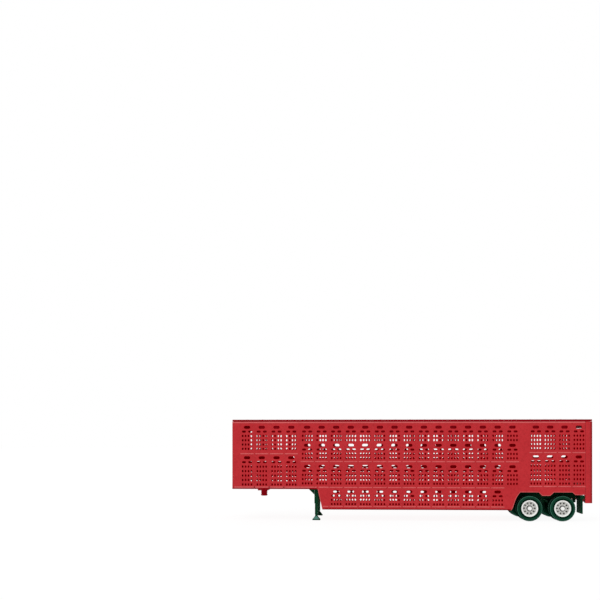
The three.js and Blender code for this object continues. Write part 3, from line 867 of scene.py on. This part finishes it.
def wheel_disc(face):
    """The dished disc of a rim with its ring of hand holes, facing +w, its edge at w = face."""

    def dish(u, v):
        r = math.hypot(u, v)
        boss = BOSS_HEIGHT * smooth((BOSS_RADIUS - r) / BOSS_SLOPE)
        return face - DISH_DEPTH * smooth((DISC_EDGE - r) / DISH_SLOPE) + boss

    holes = [partial(circle, *hand_middle(k), HAND_HOLE_RADIUS, HAND_HOLE_STEPS) for k in range(HAND_HOLES)]
    holes.append(partial(circle, 0, 0, WELL_RADIUS, WELL_STEPS))
    radii = [DISC_EDGE - inset for inset in SLOPE_POINTS_FROM_EDGE] + list(SLOPE_POINTS_AT)
    rings = [p for r in radii for p in circle(0, 0, r, DISC_STEPS)]
    middles = [hand_middle(k) for k in range(HAND_HOLES)]
    clear = [p for p in rings if all(math.dist(p, middle) > HAND_HOLE_CLEAR for middle in middles)]
    outline = circle(0, 0, DISC_EDGE, DISC_STEPS)
    return perforated(outline, holes, DISC_THICKNESS, RIM_CHAMFER, (DISC_SHADE, WELL_SHADE), clear, dish)


def dual_rim(node):
    """A rim for a pair of tyres, its outer face towards +Y, about the middle of the pair."""
    low, high = box_mm(node)
    half = (high.y - low.y) / 2
    barrel = [(RIM_LIP, -half + 0.05, BARREL), (RIM_RADIUS - 0.1, -half, BARREL),
              (RIM_RADIUS, -half + 0.1, BARREL), (RIM_RADIUS, half - 0.1, BRIGHT),
              (RIM_RADIUS - 0.08, half, BRIGHT), (RIM_LIP + 0.25, half, BRIGHT),
              (RIM_LIP, half - 0.25, BRIGHT), (RIM_LIP - 0.1, half - 1.0, BARREL),
              (RIM_LIP - 0.3, half - 1.2, BARREL), (RIM_LIP - 0.3, -half + 1.2, BARREL)]
    shape = turned([(r, y) for r, y, _ in barrel], RIM_SEGMENTS, [mark for _, _, mark in barrel])
    face_out = Matrix(((1, 0, 0, 0), (0, 0, 1, 0), (0, -1, 0, 0), (0, 0, 0, 1)))
    shape.join(wheel_disc(half - DISC_SETBACK).moved(face_out))

    def behind_face(profile):
        return [(r, half - depth) for r, depth in profile]

    shape.join(turned(behind_face(WELL_PROFILE), DISC_STEPS, [BARREL, BARREL, WELL_SHADE, WELL_SHADE]))
    shape.join(turned(behind_face(HUB_PROFILE), HUB_SEGMENTS))
    for k in range(NUTS):
        a = 2 * math.pi * (k + 0.5) / NUTS
        nut = turned(behind_face(NUT_PROFILE), NUT_SIDES)
        shape.join(nut.moved(Matrix.Translation((NUT_CIRCLE * math.cos(a), 0, NUT_CIRCLE * math.sin(a)))))
    return shape


def hub_cap(node):
    """A stepped cap that stands on y = 0 and faces +Y."""
    low, high = box_mm(node)
    depth, radius = high.y - low.y, (high.z - low.z) / 2
    profile = [(POLE, 0), (radius, 0), (radius, depth * 0.45), (radius * 0.93, depth * 0.62),
               (radius * 0.74, depth * 0.72), (radius * 0.68, depth), (POLE, depth)]
    return turned(profile, HUB_SEGMENTS)


def outboard(side):
    """Turns a shape that faces +Y to face outwards on its side."""
    return Matrix.Identity(4) if side > 0 else Matrix.Rotation(math.pi, 4, "Z")


for end in ENDS:
    for label, side in SIDES.items():
        wheel = f"{end}_{label}"
        body = f"{wheel}_wheel"
        turn = outboard(side)
        for which in ("outer", "inner"):
            node = f"{wheel}_{which}_tyre"
            placed = tyre(node).moved(Matrix.Translation(centre_of(node)) @ turn)
            piece(f"{wheel}_{which}_tread", node, placed, TYRE_GREENS, body)
        node = f"{wheel}_rim"
        placed = dual_rim(node).moved(Matrix.Translation(centre_of(node)) @ turn)
        piece(f"{wheel}_dual_rim", node, placed, RIM_SILVERS, body)
        node = f"{wheel}_hub_cap"
        low, high = box_mm(node)
        foot = Vector(((low.x + high.x) / 2, low.y if side > 0 else high.y, (low.z + high.z) / 2))
        placed = hub_cap(node).moved(Matrix.Translation(foot) @ turn)
        piece(f"{wheel}_cap", node, placed, (SILVER,), body)


# ---- Kingpin ------------------------------------------------------------------------------------

KINGPIN_SEGMENTS = 32
KINGPIN_SHANK = 0.1  # the shank's side is this far inside the head's
# From the head's face up to the shank: how far inside the head's side, and the height above its face.
KINGPIN_HEAD = ((0.25, 0.0), (0.0, 0.25), (0.0, 0.75), (0.2, 0.85), (0.2, 1.1), (KINGPIN_SHANK, 1.2))


def kingpin():
    """A stout pin that stands on its head, with a groove above the head."""
    low, high = box_mm("kingpin")
    middle, radius = centre_of("kingpin"), (high.x - low.x) / 2
    head = [(radius - inset, low.z + height) for inset, height in KINGPIN_HEAD]
    profile = [(POLE, low.z)] + head + [(radius - KINGPIN_SHANK, high.z), (POLE, high.z)]
    return turned(profile, KINGPIN_SEGMENTS).moved(standing_at(middle.x, middle.y))


# The kingpin takes the painted-shade red.
piece("king_pin", "kingpin", kingpin(), (SHADE_RED,), "trailer")


# ---- Springs ------------------------------------------------------------------------------------

LEAVES = 3
LEAF_THICKNESS = 0.27
LEAF_GAP = 0.03
LEAF_SHORTENING = 0.3  # of the top leaf's length, for each leaf further down
LEAF_INSET = 0.05  # on each side, for each leaf further down
LEAF_STEPS = 14
PACK_DEPTH = 0.9
CLIP_OFFSET = 0.8  # from the spring's middle
CLIP_WIDTH = 0.3
CLIP_BOTTOM = 0.02  # above the spring's lowest point
CLIP_OVER_PACK = 0.12
CLIP_EDGE = 0.05


def leaf_pack(node):
    """Curved leaves, each shorter than the one above, held by two clips either side of their middle."""
    low, high = box_mm(node)
    middle, reach = (low.x + high.x) / 2, (high.x - low.x) / 2
    sag = (high.z - low.z) - PACK_DEPTH
    shape = Shape()
    for leaf in range(LEAVES):
        half = reach * (1 - LEAF_SHORTENING * leaf)
        y0, y1 = low.y + LEAF_INSET * leaf, high.y - LEAF_INSET * leaf
        rings = []
        for i in range(LEAF_STEPS + 1):
            u = -half + 2 * half * i / LEAF_STEPS
            top = low.z + PACK_DEPTH + sag * (u / reach) ** 2 - leaf * (LEAF_THICKNESS + LEAF_GAP)
            bottom = top - LEAF_THICKNESS
            rings.append([(middle + u, y, z) for y, z in ((y0, bottom), (y1, bottom), (y1, top), (y0, top))])
        shape.join(loft(rings))
    clip_top = low.z + PACK_DEPTH + CLIP_OVER_PACK
    for x in (middle - CLIP_OFFSET, middle + CLIP_OFFSET):
        shape.join(soft_box((x - CLIP_WIDTH / 2, low.y, low.z + CLIP_BOTTOM),
                            (x + CLIP_WIDTH / 2, high.y, clip_top), CLIP_EDGE))
    return shape


for end in ENDS:
    for label in SIDES:
        node = f"{end}_{label}_spring"
        piece(f"{end}_{label}_leaf_pack", node, leaf_pack(node), (GREEN,), "trailer")


# ---- Landing gear -------------------------------------------------------------------------------

FOOT_CORNER = 0.2
FOOT_SIDES = 8
FOOT_FLARE = 3  # which stretch of the foot's levels is its sloping side
PAD_EDGE = 0.06
PAD_TOP_Z = 0.4
PAD_LEDGE = 0.1  # between the pad's edge and the foot of the flare
NECK = ((1.8, 0.72), (1.9, 0.6))  # heights and half widths
NECK_TOP = 0.55  # half width of the neck at its top


def rounded_ring(cx, cy, half_x, half_y, z):
    """A rectangle with cut corners, in a level plane."""
    c = min(FOOT_CORNER, half_x * 0.5, half_y * 0.5)
    return [(cx + a, cy + b, z) for a, b in (
        (-half_x + c, -half_y), (half_x - c, -half_y), (half_x, -half_y + c), (half_x, half_y - c),
        (half_x - c, half_y), (-half_x + c, half_y), (-half_x, half_y - c), (-half_x, -half_y + c))]


def landing_foot(node, side):
    """A foot that flares in straight sides from its neck to a flat pad; its outboard slope carries a painted
    highlight, a paler green.
    """
    low, high = box_mm(node)
    middle = centre_of(node)
    long, wide = (high.x - low.x) / 2, (high.y - low.y) / 2
    levels = [(0.0, long - PAD_EDGE, wide - PAD_EDGE), (PAD_EDGE, long, wide), (PAD_TOP_Z, long, wide),
              (PAD_TOP_Z + PAD_EDGE, long - PAD_LEDGE, wide - PAD_LEDGE)]
    levels += [(z, half, half) for z, half in (*NECK, (high.z, NECK_TOP))]
    foot = loft([rounded_ring(middle.x, middle.y, a, b, z) for z, a, b in levels])
    outboard_face = 0 if side < 0 else FOOT_SIDES // 2
    foot.marks[FOOT_FLARE * FOOT_SIDES + outboard_face] = FOOT_HIGHLIGHT
    return foot


for label, side in SIDES.items():
    node = f"{label}_foot"
    placed = landing_foot(node, side)
    piece(f"{label}_landing_foot", node, placed, FOOT_GREENS, f"{label}_leg")


# ---- CAD pieces that keep their own shape -------------------------------------------------------

SHOWN_AS_CUT = {
    RED: ("rear_bumper",),
    # The roof skirts and the kingpin's plate take the painted-shade red.
    SHADE_RED: ("left_roof_skirt", "right_roof_skirt", "kingpin_plate"),
    # The floors, decks and belly walls take the red with painted light.
    LIT_INSIDE_RED: ("nose_floor", "nose_deck", "main_deck", "middle_floor", "rear_floor", "rear_deck",
                 "belly_floor", "belly_front_wall", "belly_rear_wall"),
    GREEN: ("landing_gear_mount", "leg_brace", "left_outer_leg", "right_outer_leg", "left_inner_leg",
            "right_inner_leg", "bogie_frame", "mudflap_bar", "left_mudflap", "right_mudflap"),
    STEEL: ("front_axle", "rear_axle", "left_hinge_pin", "right_hinge_pin"),
}
EDGE_ROUNDING = 0.09  # of the moulded edges
EDGE_FROM_DEG = 40  # shallower edges stay as they are
WELD_DISTANCE = 0.001


def keep_cad(node, material):
    """Gives a CAD node its material and softens its edges with modifiers."""
    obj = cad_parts[node]
    obj.data.materials.clear()
    obj.data.materials.append(material)
    weld = obj.modifiers.new("weld", "WELD")
    weld.merge_threshold = WELD_DISTANCE * MM
    bevel = obj.modifiers.new("rounding", "BEVEL")
    bevel.width = EDGE_ROUNDING * MM
    bevel.segments = 2
    bevel.limit_method = "ANGLE"
    bevel.angle_limit = math.radians(EDGE_FROM_DEG)
    bevel.harden_normals = False


for material, names in SHOWN_AS_CUT.items():
    for name in names:
        keep_cad(name, material)


# ---- Stage, in metres ---------------------------------------------------------------------------

FLOOR_REACH = 3.0
FLOOR_GLOW = 0.93  # of the floor's brightness is its own, so that it stays pale in the shade
FLOOR_TONES = (0.95, 0.99)
FLOOR_CLOUD_MM = 40.0

# The camera stands level with the upper body, ahead of the middle, with the trailer low in the frame.
CAMERA_AT = (-0.0240, -0.3833, 0.0380)
CAMERA_YAW_DEG = 2.5
LENS_MM = 46.95
SENSOR_MM = 36
LENS_SHIFT = (-0.0419, 0.2333)
NEAR_AND_FAR = (0.01, 20)


def floor():
    """A wide pale floor that is mostly its own light."""
    material, tree, shader = nodes_of("pale_floor")
    at = tree.nodes.new("ShaderNodeTexCoord").outputs["Object"]
    tone = remapped(tree, noise(tree, at, FLOOR_CLOUD_MM), 0.0, 1.0)
    first, second = (((1 - FLOOR_GLOW) * level,) * 3 for level in FLOOR_TONES)
    tree.links.new(blended(tree, tone, first, second), shader.inputs["Base Color"])
    shader.inputs["Roughness"].default_value = 0.9
    shader.inputs["Specular IOR Level"].default_value = 0.0
    shader.inputs["Emission Color"].default_value = (1, 1, 1, 1)
    shader.inputs["Emission Strength"].default_value = FLOOR_GLOW
    mesh = bpy.data.meshes.new("floor")
    corners = [(sx * FLOOR_REACH, sy * FLOOR_REACH, 0) for sx, sy in ((-1, -1), (1, -1), (1, 1), (-1, 1))]
    mesh.from_pydata(corners, [], [(0, 1, 2, 3)])
    mesh.materials.append(material)
    obj = bpy.data.objects.new("floor", mesh)
    bpy.context.scene.collection.objects.link(obj)


def soft_sun(direction_from, softness_deg, strength):
    data = bpy.data.lights.new("sun", "SUN")
    data.angle = math.radians(softness_deg)
    data.energy = strength
    obj = bpy.data.objects.new("sun", data)
    obj.location = direction_from
    obj.rotation_euler = (-obj.location).to_track_quat("-Z", "Y").to_euler()
    bpy.context.scene.collection.objects.link(obj)


def white_world(strength):
    world = bpy.data.worlds.new("studio")
    world.use_nodes = True
    background = world.node_tree.nodes["Background"]
    background.inputs["Color"].default_value = (1, 1, 1, 1)
    background.inputs["Strength"].default_value = strength
    bpy.context.scene.world = world


def camera():
    data = bpy.data.cameras.new("camera")
    data.sensor_width = SENSOR_MM
    data.lens = LENS_MM
    data.shift_x, data.shift_y = LENS_SHIFT
    data.clip_start, data.clip_end = NEAR_AND_FAR
    obj = bpy.data.objects.new("camera", data)
    obj.location = CAMERA_AT
    obj.rotation_euler = (math.radians(90), 0, math.radians(CAMERA_YAW_DEG))
    bpy.context.scene.collection.objects.link(obj)
    bpy.context.scene.camera = obj


floor()
white_world(strength=1.0)
soft_sun(direction_from=(-0.3, -0.5, 0.9), softness_deg=40, strength=0.7)
camera()
bpy.context.scene.view_settings.view_transform = "Standard"
